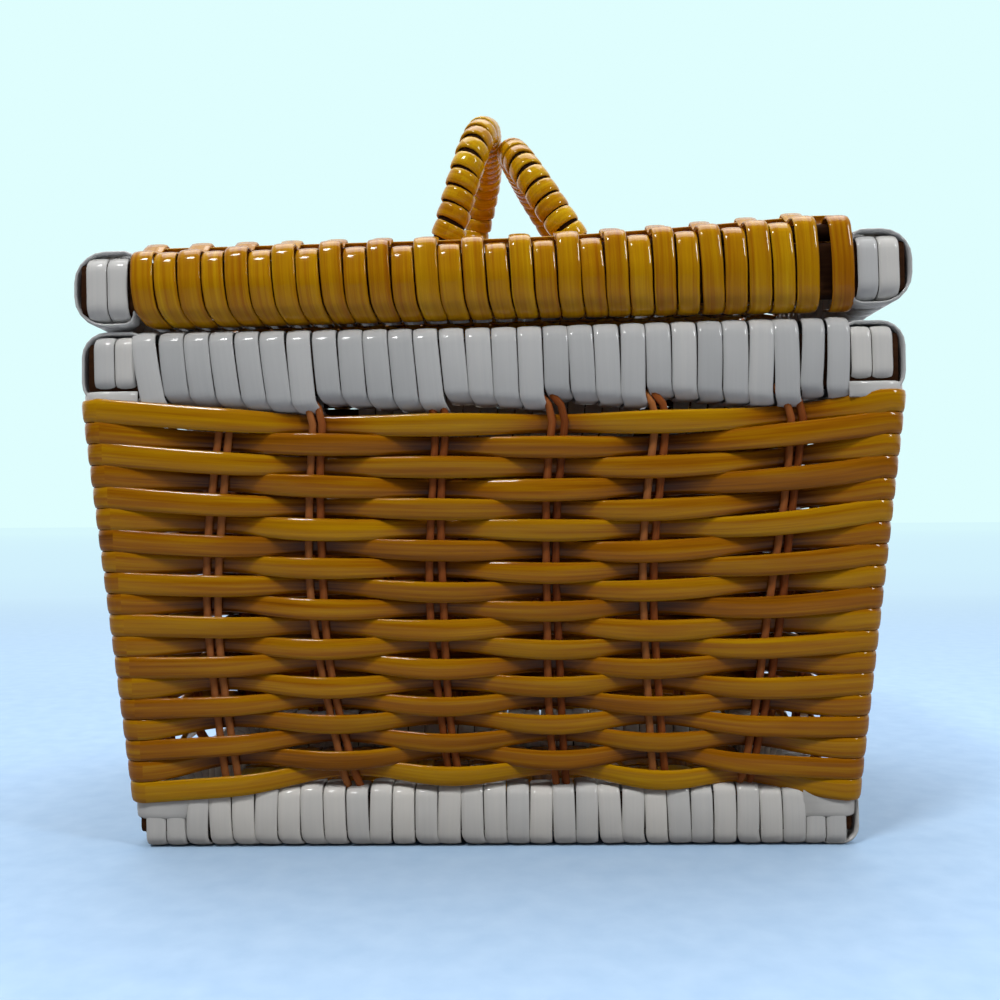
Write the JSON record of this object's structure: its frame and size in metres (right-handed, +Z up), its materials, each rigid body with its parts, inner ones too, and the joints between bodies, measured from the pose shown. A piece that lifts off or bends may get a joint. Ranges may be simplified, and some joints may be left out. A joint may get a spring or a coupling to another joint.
{
  "type": "basket box bag",
  "caption": "Woven box bag with a hinged lid, white-bound base, rim and lid corners, ochre flat-strip walls over brown stakes, and a pair of wrapped loop handles.",
  "frame": {"origin": "On the floor, under the middle of the bag", "axes": "X across the front, -Y out of the front, +Z up"},
  "size_m": [0.224, 0.144, 0.2175],
  "materials": {
    "ochre_peel": "lacquered flat strip",
    "white_peel": "white lacquered strip",
    "brown_stake": "stained rattan rod",
    "rattan_core": "bare rattan rods"
  },
  "bodies": {
    "basket": {"base_core": "rattan_core", "base_wrap_front": "white_peel", "base_wrap_back": "white_peel", "base_wrap_left": "white_peel", "base_wrap_right": "white_peel", "base_end_wraps": "white_peel", "base_panel": "ochre_peel", "corner_post_front_left": "brown_stake", "corner_post_front_right": "brown_stake", "corner_post_back_left": "brown_stake", "corner_post_back_right": "brown_stake", "stakes_front": "brown_stake", "stakes_back": "brown_stake", "stakes_left": "brown_stake", "stakes_right": "brown_stake", "woven_wall": "ochre_peel", "rim_core": "rattan_core", "rim_wrap_front": "white_peel", "rim_wrap_back": "white_peel", "rim_wrap_left": "white_peel", "rim_wrap_right": "white_peel", "rim_end_wraps": "white_peel", "hinge_tie_left": "ochre_peel", "hinge_tie_right": "ochre_peel", "base_corner_bands": "white_peel", "rim_corner_bands": "white_peel"},
    "lid": {"lid_core": "rattan_core", "lid_wrap_front": "ochre_peel", "lid_wrap_back": "ochre_peel", "lid_wrap_left": "white_peel", "lid_wrap_right": "white_peel", "lid_end_wraps": "white_peel", "lid_panel": "ochre_peel", "left_handle_ties": "ochre_peel", "right_handle_ties": "ochre_peel"},
    "left_handle": {"left_handle": "ochre_peel"},
    "right_handle": {"right_handle": "ochre_peel"}
  },
  "joints": [
    {"name": "lid_hinge", "type": "hinge", "parent": "basket", "child": "lid", "pos_m": [0, 0.068, 0.1468], "axis": [-1, 0, 0], "range_deg": [0, 105]},
    {"name": "left_handle_fold", "type": "hinge", "parent": "lid", "child": "left_handle", "pos_m": [-0.0153, 0, 0.168], "axis": [0, -1, 0], "range_deg": [0, 105.5]},
    {"name": "right_handle_fold", "type": "hinge", "parent": "lid", "child": "right_handle", "pos_m": [0.0337, 0, 0.168], "axis": [0.1736, 0.9848, 0], "range_deg": [0, 122.2]}
  ]
}
